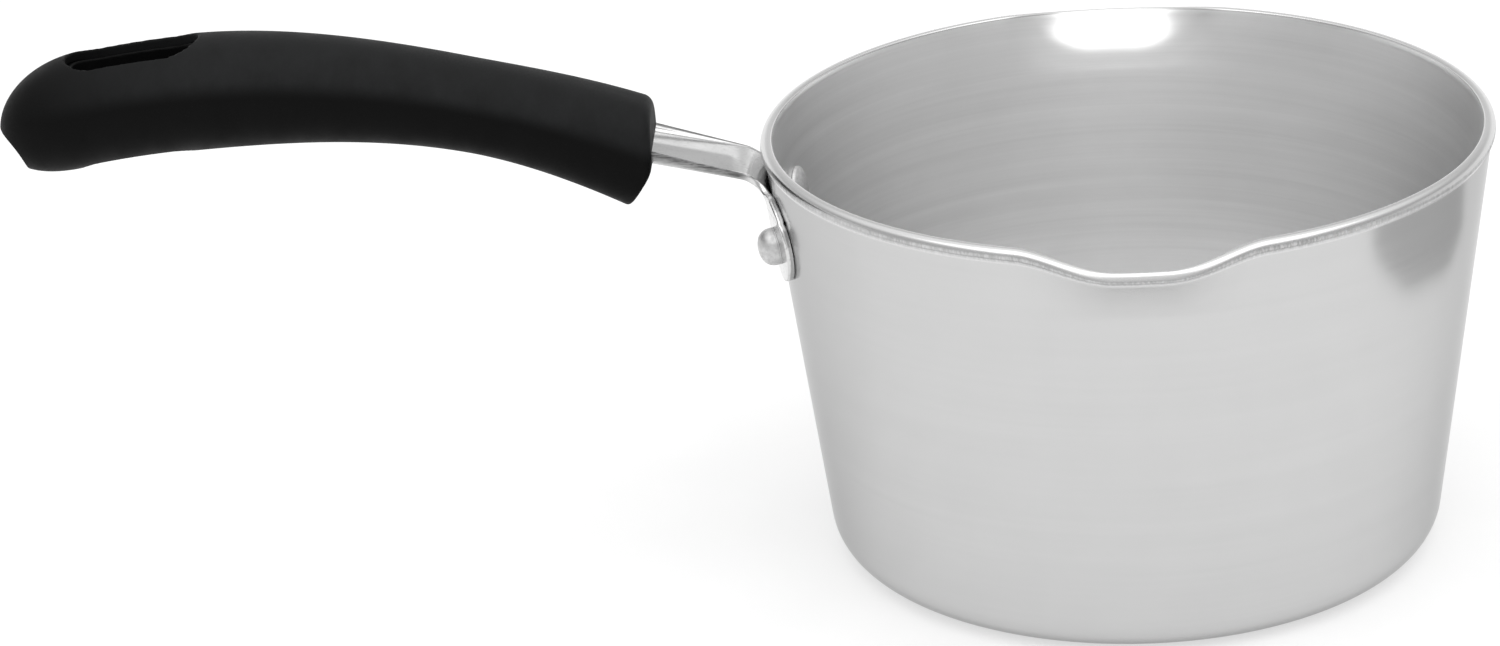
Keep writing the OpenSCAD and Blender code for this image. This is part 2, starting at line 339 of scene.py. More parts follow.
def solid_from_field(field, low, high, step):
    """Mesh of the solid where a field is negative.

    Its vertices are drawn onto the exact surface, a short way in each turn. Some of the turns
    also smooth their spacing."""
    margin = 2.5 * step
    longest_move = 0.4 * step
    turns = 6
    smoothing_turns = (1, 2, 3)
    low = np.asarray(low, float) - margin
    axes = [np.arange(low[k], high[k] + margin, step) for k in range(3)]
    grid = np.stack(np.meshgrid(*axes, indexing="ij"), -1)
    values = np.stack([field(layer) for layer in grid])
    points, quads = surface_net(values, low, step)
    for turn in range(turns):
        if turn in smoothing_turns:
            points = mix(points, neighbour_mean(points, quads), 0.5)
        value = field(points)
        slope = gradient(field, points, value)
        size = np.maximum((slope ** 2).sum(-1), 0.05)
        move = -(value / size)[:, None] * slope
        length = np.linalg.norm(move, axis=1, keepdims=True)
        points = points + move * np.minimum(1, longest_move / np.maximum(length, 1e-9))
    return points, quads


def round_and(a, b, r):
    """The part inside both fields, its convex edge rounded to radius r."""
    outside = np.sqrt(np.maximum(a + r, 0) ** 2 + np.maximum(b + r, 0) ** 2)
    return np.minimum(np.maximum(a, b), -r) + outside


def round_or(a, b, r):
    """The part inside either field, its hollow corner filled to radius r."""
    return -round_and(-a, -b, r)


# ---------------------------------------------------------------- node tools

class Nodes:
    """Short ways to add, set and link the nodes of one tree."""

    def __init__(self, tree):
        self.tree = tree

    def link(self, source, target):
        self.tree.links.new(source, target)

    def fill(self, socket, value):
        """Gives a socket a constant or another node's output."""
        if isinstance(value, bpy.types.NodeSocket):
            self.link(value, socket)
        else:
            socket.default_value = value

    def add(self, kind, **inputs):
        """A node with its inputs filled by name, where _ stands for a space."""
        node = self.tree.nodes.new(kind)
        for name, value in inputs.items():
            self.fill(node.inputs[name.replace("_", " ")], value)
        return node

    def math(self, operation, *numbers):
        node = self.tree.nodes.new("ShaderNodeMath")
        node.operation = operation
        for socket, number in zip(node.inputs, numbers):
            self.fill(socket, number)
        return node.outputs[0]

    def weighted(self, a, b, share):
        """The sum of a times its share and b times the rest."""
        first = self.math("MULTIPLY", a, share)
        return self.math("ADD", first, self.math("MULTIPLY", b, 1 - share))

    def span(self, value, source, target=(0.0, 1.0)):
        """Maps a number from the source range to the target range, held at both ends."""
        ends = {"From_Min": source[0], "From_Max": source[1], "To_Min": target[0], "To_Max": target[1]}
        return self.add("ShaderNodeMapRange", Value=value, **ends).outputs[0]


class Shader(Nodes):
    """A material whose Principled shader is fed by procedural nodes."""

    def __init__(self, name, color, metallic, roughness, **fixed):
        self.material = bpy.data.materials.new(name)
        self.material.use_nodes = True
        super().__init__(self.material.node_tree)
        self.tree.nodes.clear()
        fixed.update(Base_Color=(*color, 1), Metallic=metallic, Roughness=roughness)
        self.surface = self.add("ShaderNodeBsdfPrincipled", **fixed)
        self.add("ShaderNodeOutputMaterial", Surface=self.surface.outputs[0])

    def value(self, name):
        """A number that the mesh stores for each vertex."""
        node = self.tree.nodes.new("ShaderNodeAttribute")
        node.attribute_name = name
        return node.outputs["Fac"]

    def place(self):
        return self.tree.nodes.new("ShaderNodeTexCoord").outputs["Object"]

    def scaled(self, vector, scale):
        return self.add("ShaderNodeMapping", Vector=vector, Scale=scale).outputs[0]

    def noise(self, vector, scale, detail=2.0, roughness=0.5):
        inputs = {"Vector": vector, "Scale": scale, "Detail": detail, "Roughness": roughness}
        return self.add("ShaderNodeTexNoise", **inputs).outputs["Fac"]

    def tint(self, value, dark, light):
        """Colour between two greys or tints, set by a number from 0 to 1."""
        node = self.add("ShaderNodeValToRGB", Fac=value)
        node.color_ramp.elements[0].color = (*dark, 1)
        node.color_ramp.elements[1].color = (*light, 1)
        return node.outputs[0]

    def bump(self, height, depth):
        """Relief as deep as depth, in millimetres, where height runs from 0 to 1."""
        return self.add("ShaderNodeBump", Height=height, Distance=depth * MM, Strength=1.0).outputs[0]

    def feed(self, name, value):
        self.link(value, self.surface.inputs[name])


def grey(value):
    return (value, value, value)


# ---------------------------------------------------------------- materials

# Most of a noise's values lie in this range.
NOISE_RANGE = (0.3, 0.7)


def ring_noise(shader, around, along, detail=3.0, roughness=0.6):
    """Noise that changes slowly round the pot and fast along its profile, so that it makes rings."""
    place = shader.add("ShaderNodeSeparateXYZ", Vector=shader.place()).outputs
    x = shader.math("MULTIPLY", place["X"], around)
    y = shader.math("MULTIPLY", place["Y"], around)
    run = shader.math("MULTIPLY", shader.value("run"), along)
    rings = shader.add("ShaderNodeCombineXYZ", X=x, Y=y, Z=run).outputs[0]
    return shader.noise(rings, 1.0, detail, roughness)


def spun_metal(name, reflectance, roughness, ring_depth, ring_tone, grazing):
    """Spun aluminium: broad rings, fine rings and faint smears, with the brushing round Z.

    Grazing is how much of the light it reflects at a grazing angle. The roughness varies only
    a little, and keeps clear of 0.27, because the denoiser outlines the places that cross it."""
    tint = (*grey(grazing), 1)
    shader = Shader(name, grey(reflectance), 1.0, roughness, Anisotropic=0.45, Specular_Tint=tint)
    tangent = shader.tree.nodes.new("ShaderNodeTangent")
    tangent.direction_type = "RADIAL"
    tangent.axis = "Z"
    shader.feed("Tangent", tangent.outputs[0])
    broad = ring_noise(shader, 8, 330)
    fine = ring_noise(shader, 14, 1500, roughness=0.65)
    smear = ring_noise(shader, 30, 60, roughness=0.55)
    rings = shader.weighted(broad, fine, 0.6)
    blend = shader.weighted(rings, smear, 0.7)
    dark, light = grey(reflectance - ring_tone), grey(reflectance + ring_tone)
    shader.feed("Base Color", shader.tint(shader.span(blend, (0.32, 0.68)), dark, light))
    shader.feed("Roughness", shader.span(blend, NOISE_RANGE, (roughness, roughness + 0.06)))
    shader.feed("Normal", shader.bump(rings, ring_depth))
    return shader.material


def rim_metal():
    """Turned rim: smooth on top, and duller on its outer edge, where trimming left chatter marks."""
    base = grey(0.68)
    mark = grey(0.36)
    shader = Shader("pot_rim", base, 1.0, 0.28)
    marks = ring_noise(shader, 2300, 500, roughness=0.7)
    patches = ring_noise(shader, 22, 40, detail=2.0, roughness=0.5)
    patchy = shader.span(patches, (0.35, 0.65), (0.4, 1.0))
    dull = shader.math("MULTIPLY", patchy, shader.value("edge"))
    dull = shader.math("MULTIPLY", shader.span(marks, (0.36, 0.6), (0.35, 1.0)), dull)
    shader.feed("Base Color", shader.tint(dull, base, mark))
    shader.feed("Roughness", shader.span(dull, (0.0, 1.0), (0.24, 0.5)))
    shader.feed("Normal", shader.bump(shader.math("MULTIPLY", marks, dull), 0.02))
    return shader.material


def bright_metal():
    """Bright strip metal with specks, fine draw lines along the strap and rough sheared edges; painted
    shade darkens the strap's sheared sides.
    """
    base = grey(0.66)
    speck_and_edge_shade = grey(0.11)
    shader = Shader("bracket_metal", base, 1.0, 0.2)
    place = shader.place()
    lines = shader.noise(shader.scaled(place, (30, 2600, 2600)), 1.0)
    torn = shader.noise(shader.scaled(place, (300, 2600, 2600)), 1.0, 3.0, 0.7)
    specks = shader.noise(place, 1500.0, 3.0, 0.7)
    cloud = shader.noise(place, 120.0, 3.0)
    rough_edge = shader.span(torn, (0.4, 0.6), (0.7, 1.0))
    # painted shade on the strap's sheared sides, broken up by the torn texture
    sheared_edge_shade = shader.math("MULTIPLY", shader.value("sheared_edge_shade"), rough_edge)
    dark = shader.math("MAXIMUM", shader.span(specks, (0.58, 0.7), (0.0, 0.4)), sheared_edge_shade)
    shader.feed("Base Color", shader.tint(dark, base, speck_and_edge_shade))
    polish = shader.span(cloud, NOISE_RANGE, (0.12, 0.24))
    shader.feed("Roughness", shader.math("MULTIPLY_ADD", dark, 0.3, polish))
    shader.feed("Normal", shader.bump(shader.weighted(lines, specks, 0.5), 0.02))
    return shader.material


def rivet_metal():
    """Satin aluminium with light hammer marks."""
    light = grey(0.64)
    dark = grey(0.5)
    shader = Shader("rivet_metal", light, 1.0, 0.48)
    place = shader.place()
    dents = shader.noise(place, 700.0)
    grain = shader.noise(place, 4200.0, 3.0, 0.7)
    stain = shader.noise(place, 900.0, 3.0, 0.6)
    shader.feed("Base Color", shader.tint(shader.span(stain, (0.3, 0.62)), dark, light))
    shader.feed("Roughness", shader.span(grain, NOISE_RANGE, (0.42, 0.54)))
    shader.feed("Normal", shader.bump(shader.weighted(dents, grain, 0.8), 0.04))
    return shader.material


def matt_black(name, base, roughness, level, grain_depth, top_sheen_and_dust=1.0):
    """Moulded black plastic with fine grain and faint mottling.

    The last number says how many times lighter the upper side is, where a painted sheen lies with
    dust."""
    shader = Shader(name, grey(base), 0.0, roughness, Specular_IOR_Level=level)
    place = shader.place()
    grain = shader.noise(place, 3600.0, 3.0, 0.65)
    mottle = shader.noise(shader.scaled(place, (1.6, 1, 1)), 110.0, 4.0, 0.6)
    dust = shader.span(shader.noise(place, 1900.0, 2.0, 0.6), (0.7, 0.8))
    tone = shader.math("MULTIPLY_ADD", dust, 0.3, shader.span(mottle, NOISE_RANGE, (0.6, 1.0)))
    # painted sheen: the upper side is drawn lighter, with dust specks and mottling
    tone = shader.math("MULTIPLY", tone, shader.value("top_sheen_and_dust"))
    light = base * top_sheen_and_dust
    sheen_and_dust_tint = (light, light * 1.03, light * 1.06)
    shader.feed("Base Color", shader.tint(tone, grey(base), sheen_and_dust_tint))
    shader.feed("Roughness", shader.span(mottle, NOISE_RANGE, (roughness - 0.07, roughness + 0.08)))
    shader.feed("Normal", shader.bump(grain, grain_depth))
    return shader.material


# ---------------------------------------------------------------- pot

def outer_point(z):
    return (wall_r(z), z)


def inner_point(z):
    return (inner_r(z), z)


def pot_profile():
    """Closed outline from the middle of the base, up the outside, over the rim and down the inside.

    Each point carries its material: 0 outside, 1 rim, 2 inside."""
    lean = math.degrees(LEAN)
    corner = (wall_r(CORNER_R) - CORNER_R / math.cos(LEAN), CORNER_R)
    wall_foot = CORNER_R * (1 - math.sin(LEAN)) + 1
    in_r = CORNER_R - WALL_T
    in_z = FLOOR_T + in_r
    in_x = inner_r(in_z) - in_r / math.cos(LEAN)
    zone = POT_H - TOP_ZONE
    outer_top = (RIM_R - RIM_ROUND_OUT, POT_H - RIM_ROUND_OUT)
    inner_top = (inner_r(POT_H) + RIM_ROUND_IN, POT_H - RIM_ROUND_IN)

    outside = line((MIDDLE_R, 0), (corner[0], 0), 26)
    outside += arc(corner, CORNER_R, -90, -lean, 18)
    outside += line(outer_point(wall_foot), outer_point(zone), 34)
    outside += line(outer_point(zone), outer_point(BAND_Z - 0.25), 22)

    # a soft step leads out from the wall to the rim's thicker band
    rim = [outer_point(BAND_Z - 0.2), (wall_r(BAND_Z) + 0.06, BAND_Z), (RIM_R - 0.1, BAND_Z + 0.32)]
    rim += line((RIM_R - 0.01, BAND_Z + 0.5), (RIM_R, outer_top[1]), 2)
    rim += arc(outer_top, RIM_ROUND_OUT, 0, 90, 10)
    rim += [((outer_top[0] + inner_top[0]) / 2, POT_H)]
    rim += arc(inner_top, RIM_ROUND_IN, 90, 180, 6)

    inside = line(inner_point(POT_H - 0.7), inner_point(zone), 24)
    inside += line(inner_point(zone), inner_point(in_z + 0.6), 44)
    inside += arc((in_x, in_z), in_r, -lean, -90, 14)
    inside += line((in_x - 0.5, FLOOR_T), (MIDDLE_R, FLOOR_T), 30)
    inside += [(MIDDLE_R, FLOOR_T)]

    points = np.array(outside + rim + inside)
    kinds = np.repeat([0, 1, 2], [len(outside), len(rim), len(inside)])
    return points, kinds


def spout_share(angle):
    """How much of a spout's push there is at an angle from -Y, in degrees."""
    from_spout = np.abs((angle + 90) % 180 - 90)
    return 1 - ease((from_spout - SPOUT_FLAT) / (SPOUT_HALF - SPOUT_FLAT))


def push_spouts(radius, height, angle, inward):
    """Moves wall points outward and down where the two spouts are pressed.

    Inward is 0 outside and 1 inside, where the wall keeps flaring to the top and leaves a thin lip.
    The lip's top face turns outward with the wall."""
    foot = POT_H - SPOUT_LEN
    rise = np.maximum((height - foot) / (BAND_Z - foot), 0)
    reach = np.minimum(rise, 1)
    share = spout_share(angle)
    top = (POT_H - foot) / (BAND_Z - foot)
    flare = mix(reach ** WALL_CURVE, LIP_FLARE * (rise / top) ** LIP_CURVE, inward)
    tilt = LIP_TILT * (1 - inward) * np.clip((height - BAND_Z) / BAND_H, 0, 1)
    return radius + SPOUT_OUT * share * flare, height - share * (SPOUT_DIP * reach + tilt)


def trimmed_edge(profile):
    """1 on the outer face of the rim, where the chatter marks are, fading to 0 above and below."""
    x, z = profile[:, 0], profile[:, 1]
    below_top, top_fade = 0.9, 0.4
    foot_fade = 0.6
    face_depth = 1.2
    across = ease((POT_H - below_top - z) / top_fade) * ease((z - BAND_Z + foot_fade) / foot_fade)
    return np.where(x > RIM_R - face_depth, across, 0)


def build_pot(outside, rim, inside):
    profile, kinds = pot_profile()
    angle = np.arange(POT_STEPS) * 360 / POT_STEPS
    inward = np.clip((RIM_R - profile[:, 0]) / (RIM_R - inner_r(POT_H)), 0, 1)
    inward = np.where(kinds == 0, 0, np.where(kinds == 2, 1, inward))
    ringed = profile[:, 0] + ring_relief(profile, kinds)
    radius, height = push_spouts(ringed[None], profile[None, :, 1], angle[:, None], inward[None])
    turn = np.radians(angle)[:, None] - math.pi / 2
    points = np.stack([radius * np.cos(turn), radius * np.sin(turn), height], -1)
    points = np.vstack([points.reshape(-1, 3), [[0, 0, 0], [0, 0, FLOOR_T]]])
    faces = lathe_faces(POT_STEPS, len(profile))
    piece = make_piece("pot", points, faces, "pot_metal", [outside, rim, inside], ["pot_body"])
    step = np.linalg.norm(np.diff(profile, axis=0), axis=1)
    run = np.concatenate([[0], np.cumsum(step)]) * MM
    add_values(piece.data, "run", np.concatenate([np.tile(run, POT_STEPS), [0, run[-1]]]))
    edge = np.tile(trimmed_edge(profile), POT_STEPS)
    add_values(piece.data, "edge", np.concatenate([edge, [0, 0]]))
    kind = np.tile(np.maximum(kinds[:-1], kinds[1:]), POT_STEPS)
    kind = np.concatenate([kind, np.tile([0, 2], POT_STEPS)])
    piece.data.polygons.foreach_set("material_index", kind.astype(np.int32))


def ring_relief(profile, kinds):
    """Spinning marks on the inside: very shallow waves in the radius, with a long and a short one.

    They fade out at the floor's corner and at the rim."""
    z = profile[:, 1]
    long_wave = 0.006 * np.sin(z * 0.9)
    short_wave = 0.003 * np.sin(z * 1.7 + 1.0)
    waves = long_wave + short_wave
    corner_top, corner_fade = 12, 6
    rim_foot, rim_fade = POT_H - 1.5, 4
    fade = ease((z - corner_top) / corner_fade) * ease((rim_foot - z) / rim_fade)
    return np.where(kinds == 2, waves * fade, 0)


# ---------------------------------------------------------------- bracket

def strap_path(s):
    """Top face of the bent strip at a distance s from the corner side, in the XZ plane.

    s = 0 is where the bend meets the leg, s < 0 runs down the wall, s > 0 runs to the grip.
    Returns the place, the unit direction along the strip and the unit normal into the sheet."""
    along = np.array([-math.cos(STRAP_TILT), math.sin(STRAP_TILT)])
    into = np.array([-math.sin(STRAP_TILT), -math.cos(STRAP_TILT)])
    corner = np.array([HX, HZ])
    centre = corner + along * BEND_T + into * BEND_OUT
    turn_back = np.clip((BEND_LEN - s) / BEND_OUT, 0, TURN)
    cos, sin = np.cos(turn_back)[..., None], np.sin(turn_back)[..., None]
    out = -into * cos - along * sin
    direction = along * cos - into * sin
    place = centre + out * BEND_OUT
    place = place + direction * (np.minimum(s, 0) + np.maximum(s - BEND_LEN, 0))[..., None]
    return place, direction, -out


def bend_strip(p):
    """Carries flat strip coordinates (along, across, depth) to the bent and wrapped shape.

    The strap bends away from the pot, while the lobes' shoulders beside it are held on the wall.
    The hold starts a little inside the strap's edges and doesn't end along the strap, so it lifts
    those edges toward the grip, which is a known fault. The strap's crown is a soft ridge that
    fades in after the bend and out inside the grip."""
    s, w, depth = p[:, 0], p[:, 1], p[:, 2]
    hold_inset, hold_width, hold_lead = 0.8, 4.5, 0.5
    ridge_soft, ridge_flat, ridge_inset = 0.4, 0.5, 0.6
    crown_lead, crown_past, crown_fade = 0.3, 4, 3.0
    wrap_start, wrap_run = BEND_LEN * 0.85, BEND_LEN * 0.95
    place, _, into = strap_path(s)
    foot, upward, outward = strap_path(np.zeros(1))
    beside = ease((np.abs(w) - STRAP_W / 2 + hold_inset) / hold_width) * ease(s / hold_lead)
    place = mix(place, foot + upward * s[:, None], beside[:, None])
    into = mix(into, outward, beside[:, None])
    from_middle = np.sqrt(w ** 2 + ridge_soft) - ridge_flat
    ridge = np.maximum(0, 1 - from_middle / (STRAP_W / 2 - ridge_inset))
    crown = CROWN_H * np.minimum(ridge, 1) * ease((s - BEND_LEN - crown_lead) / crown_fade)
    crown = crown * ease((STRAP_RUN + BEND_T + crown_past - s) / crown_fade)
    side = place + into * (depth - crown * (1 - depth / STRAP_T))[:, None]
    flat = np.stack([side[:, 0], w, side[:, 1]], -1)
    radius = -side[:, 0]
    azimuth = w / np.maximum(-place[:, 0], 1)
    wrapped = np.stack([-radius * np.cos(azimuth), radius * np.sin(azimuth), side[:, 1]], -1)
    share = np.maximum(ease((wrap_start - s) / wrap_run), beside)
    return mix(flat, wrapped, share[:, None])


def strip_outline(s, w):
    """Signed distance to the flat outline of the strip: pad with two lobes, strap and tang."""
    leg_top = strap_path(np.array(0.0))[0][1]
    lobe_s = (LOBE_Z - leg_top) / math.cos(LEAN)
    rivet_s = (RIVET_Z - leg_top) / math.cos(LEAN)
    a = np.abs(w)
    lobe = np.hypot(s - lobe_s, a - LOBE_W) - LOBE_R
    bridge_low = lobe_s - LOBE_R + BRIDGE_RISE
    bridge_high = lobe_s + LOBE_R - BRIDGE_DROP
    bridge = np.maximum(np.maximum(bridge_low - s, s - bridge_high), a - LOBE_Y)
    pad = round_or(lobe, bridge, LOBE_FILLET)
    strap = np.maximum(np.maximum(lobe_s - s, s - STRAP_END), a - STRAP_W / 2)
    tang_ends = np.maximum(STRAP_END - TANG_OVERLAP - s, s - STRAP_END - TANG_LEN)
    tang = round_and(tang_ends, a - TANG_W / 2, TANG_ROUND)
    whole = np.minimum(round_or(pad, strap, SHOULDER_FILLET), tang)
    for at in KEY_HOLES:
        hole = np.hypot(s - STRAP_END - at, w) - KEY_HOLE_R
        whole = np.maximum(whole, -hole)
    return np.maximum(whole, SHANK_R + HOLE_GAP - np.hypot(s - rivet_s, a - LOBE_W))


def build_bracket(material):
    def field(p):
        slab = np.abs(p[..., 2] - STRAP_T / 2) - STRAP_T / 2
        return round_and(strip_outline(p[..., 0], p[..., 1]), slab, STRIP_EDGE_R)

    pad_foot = -24.0
    spare = 0.6
    half = LOBE_Y + LOBE_R + spare
    low = np.array([pad_foot, -half, 0])
    high = np.array([STRAP_END + TANG_LEN, half, STRAP_T])
    flat, quads = solid_from_field(field, low, high, STRIP_STEP)
    points = bend_strip(flat)
    piece = make_piece("bracket", points, quads, "bracket_metal", [material], ["handle_bracket"])
    # painted shade on the sheared edges, broken by their rough torn texture, starts in the bend and
    # covers the strap's sides only
    side_depth, side_fade = 0.35, 0.2
    start, start_fade = BEND_LEN * 0.7, 4
    near_side = ease((strip_outline(flat[:, 0], flat[:, 1]) + side_depth) / side_fade)
    on_strap = ease((flat[:, 0] - start) / start_fade)
    add_values(piece.data, "sheared_edge_shade", near_side * on_strap)


# ---------------------------------------------------------------- rivets

def head_outline(radius, seat, tip, across, upward, angles):
    """Points on a domed head from its seat to its tip; the two powers make it fuller than an oval."""
    points = []
    for a in np.radians(angles):
        r = radius * math.cos(a) ** across
        points.append((r, seat + (tip - seat) * math.sin(a) ** upward))
    return points


def rivet_profile():
    """Outline of a set rivet along its axis, from the outer head's tip to the inner head's tip."""
    top = STRAP_T + OUTER_HEAD_H
    flat_r, flat_depth = 1.5, 0.12
    dome = head_outline(OUTER_HEAD_R, STRAP_T + 0.55, top, 0.92, 0.8, np.linspace(90, 0, 20))
    # the setting tool leaves the tip a little flatter
    dome = [(r, min(h, top - flat_depth * max(0, 1 - (r / flat_r) ** 2))) for r, h in dome]
    # a fine groove runs round the outer head just above its seat
    collar = [(OUTER_HEAD_R + 0.02, STRAP_T + 0.42), (OUTER_HEAD_R - 0.12, STRAP_T + 0.3)]
    collar += [(OUTER_HEAD_R, STRAP_T + 0.18), (OUTER_HEAD_R - 0.05, STRAP_T + 0.02)]
    shank = [(SHANK_R, STRAP_T + 0.02), (SHANK_R, -WALL_T - 0.02)]
    foot = [(INNER_HEAD_R - 0.12, -WALL_T - 0.02), (INNER_HEAD_R, -WALL_T - 0.15)]
    low_seat, low_tip = -WALL_T - 0.3, -WALL_T - INNER_HEAD_H
    low = head_outline(INNER_HEAD_R, low_seat, low_tip, 0.9, 1, np.linspace(0, 90, 16))
    return np.array(dome + collar + shank + foot + low)


def build_rivet(name, side, material, node):
    """A rivet through a lobe, square to the wall; its heads follow the curved sheet."""
    profile = rivet_profile()
    turn = np.arange(RIVET_STEPS)[:, None] * 2 * math.pi / RIVET_STEPS
    r, h = profile[1:-1, 0], profile[1:-1, 1]
    x, y, z = r * np.cos(turn), r * np.sin(turn), np.repeat(h[None], RIVET_STEPS, 0)
    # the seats bend with the wall, so points at the heads' rims sink toward it
    outer_fade, inner_fade = 3.0, 1.2
    sag = y ** 2 / (2 * wall_r(RIVET_Z))
    near_seat = np.clip(1 - np.abs(z - STRAP_T) / outer_fade, 0, 1)
    near_seat += np.clip(1 - np.abs(z + WALL_T) / inner_fade, 0, 1)
    local = np.stack([x, y, z - sag * near_seat], -1)
    tips = [[0, 0, profile[0, 1]], [0, 0, profile[-1, 1]]]
    points = np.vstack([local.reshape(-1, 3), tips])
    # this outline runs the other way from the pot's, so its faces are turned over
    faces = [face[:1] + face[:0:-1] for face in lathe_faces(RIVET_STEPS, len(h))]
    azimuth = side * math.asin(LOBE_Y / wall_r(LOBE_Z))
    turn_out = Matrix.Rotation(math.pi + azimuth, 3, "Z")
    tip = Matrix.Rotation(math.pi / 2 + LEAN, 3, "Y")
    start = turn_out @ Vector((wall_r(RIVET_Z), 0, RIVET_Z))
    points = points @ np.array(turn_out @ tip).T + np.array(start)
    make_piece(name, points, faces, "rivet_metal", [material], [node])


# ---------------------------------------------------------------- grip

def grip_section(x):
    """Centre height, half height and half width of the grip's section at x."""
    zc = APEX_Z - ARC_R + np.sqrt(ARC_R ** 2 - (x - APEX_X) ** 2)
    to_front = np.clip((x - WAIST_X) / WAIST_RUN, 0, 1.2) ** FRONT_CURVE
    to_belly = ease((WAIST_X - x) / BELLY_RUN)
    end = np.where(x > WAIST_X, GRIP_HEIGHTS["front"], GRIP_HEIGHTS["belly"])
    height = mix(GRIP_HEIGHTS["waist"], end, np.where(x > WAIST_X, to_front, to_belly))
    start, run = WIDTH_RUN
    width = mix(GRIP_WIDTHS["front"], GRIP_WIDTHS["belly"], ease((WAIST_X + start - x) / run))
    return zc, height / 2, width / 2


def grip_shape(p, skin):
    """Field of the grip's body, zero at the surface; skin moves the surface inward."""
    x = p[..., 0]
    zc, height, width = grip_section(x)
    power = 2 / mix(OVAL_E, FRONT_E, ease((x - WAIST_X) / SQUARING_RUN))
    y = np.abs(p[..., 1]) / (width - skin)
    z = np.abs(p[..., 2] - zc) / (height - skin)
    ring = (y ** power + z ** power + 1e-12) ** (1 / power)
    nose = np.maximum(NOSE_X - x, 0) / (NOSE_LEN - skin)
    return (ring ** CAP_POWER + nose ** CAP_POWER) ** (1 / CAP_POWER) - 1


def grip_distance(p, skin):
    """Distance to the grip's body, nearly true within 3 mm of its surface."""
    def shape(q):
        return grip_shape(q, skin)

    rough_scale, near_limit = 12.0, 3.0
    value = shape(p)
    distance = value * rough_scale
    near = np.abs(distance) < near_limit
    slope = gradient(shape, p[near], value[near])
    distance[near] = value[near] / np.linalg.norm(slope, axis=-1)
    return distance


def chin_distance(p, back=0.0):
    """Distance to the plane that cuts the chin off the front, moved back into the grip."""
    x, z = p[..., 0] - FRONT_X + back, p[..., 2] - CHIN_Z
    return x * math.cos(CHIN_A) - z * math.sin(CHIN_A)


def slot_distance(p, length, width):
    """Distance to an upright slot with round ends near the grip's tail."""
    dx = np.maximum(np.abs(p[..., 0] - SLOT_X) - (length - width) / 2, 0)
    return np.hypot(dx, p[..., 1]) - width / 2


def strap_hole(p, gap):
    """Distance to the strap and its narrower tang inside the grip, in their own tilted frame."""
    dx, dz = p[..., 0] - HX, p[..., 2] - HZ
    up = dx * math.sin(STRAP_TILT) + dz * math.cos(STRAP_TILT)
    along = dz * math.sin(STRAP_TILT) - dx * math.cos(STRAP_TILT) - BEND_T - STRAP_RUN
    side = np.abs(p[..., 1])
    strap = np.maximum(side - STRAP_W / 2, along)
    tang = np.maximum(side - TANG_W / 2, along - TANG_LEN)
    thick = np.abs(up + (STRAP_T - CROWN_H) / 2) - (STRAP_T + CROWN_H) / 2
    return np.maximum(np.minimum(strap, tang), thick) - gap


def tail_notch(p, grow):
    """Positive inside the round notch across the tail, grown by a margin."""
    x, z, radius = NOTCH
    return radius + grow - np.hypot(p[..., 0] - x, p[..., 2] - z)


def core_field(p):
    """The core's outside, one skin's thickness inside the grip."""
    body = round_and(grip_distance(p, SKIN_T), p[..., 0] - FRONT_X + CORE_BACK, CORE_ROUND)
    body = round_and(body, chin_distance(p, CORE_CHIN), CORE_ROUND)
    return round_and(body, tail_notch(p, SKIN_T), CORE_ROUND)


def sleeve_field(p):
    """The sleeve: the grip's outside, hollow where the core and the strap go."""
    body = round_and(grip_distance(p, SLEEVE_GAP), p[..., 0] - FRONT_X, MOUTH_ROUND)
    body = round_and(body, chin_distance(p), CHIN_ROUND)
    body = round_and(body, -slot_distance(p, SLOT_LEN, SLOT_W), SLOT_ROUND)
    body = round_and(body, tail_notch(p, 0), NOTCH_ROUND)
    body = np.maximum(body, -core_field(p))
    return round_and(body, -strap_hole(p, STRAP_GAP), STRAP_HOLE_ROUND)


def inner_field(p):
    """The core: its slot is narrower than the sleeve's, and it closes round the tang."""
    slot = slot_distance(p, SLOT_LEN - 2 * SLOT_LIP, SLOT_W - 2 * SLOT_LIP)
    body = round_and(core_field(p), -slot, CORE_ROUND)
    return np.maximum(body, -strap_hole(p, CORE_STRAP_GAP))


def build_grip(sleeve, core):
    half = GRIP_WIDTHS["belly"] / 2
    low = np.array([TAIL_X, -half, GRIP_Z[0]])
    high = np.array([FRONT_X, half, GRIP_Z[1]])
    for name, field, slot, material, node in (
        ("grip_outer", sleeve_field, "sleeve_plastic", sleeve, "grip_sleeve"),
        ("grip_inner", inner_field, "core_plastic", core, "grip_core"),
    ):
        points, quads = solid_from_field(field, low, high, GRIP_STEP)
        piece = make_piece(name, points, quads, slot, [material], [node])
        zc, height, _ = grip_section(points[:, 0])
        # a painted sheen lies on the upper side, with dust, and less of it toward the tail
        sheen_dust_from, sheen_dust_fade, tail_fade = 0.15, 0.35, 45
        upper = ease(((points[:, 2] - zc) / height - sheen_dust_from) / sheen_dust_fade)
        add_values(piece.data, "top_sheen_and_dust", upper * ease((points[:, 0] - TAIL_X) / tail_fade))


# ---------------------------------------------------------------- stage

def softbox(name, place, target, size, power):
    data = bpy.data.lights.new(name, "AREA")
    data.shape = "RECTANGLE"
    data.size, data.size_y = size
    data.energy = power
    light = bpy.data.objects.new(name, data)
    light.location = place
    direction = Vector(target) - Vector(place)
    light.rotation_euler = direction.to_track_quat("-Z", "Y").to_euler()
    light.visible_camera = False
    bpy.context.scene.collection.objects.link(light)


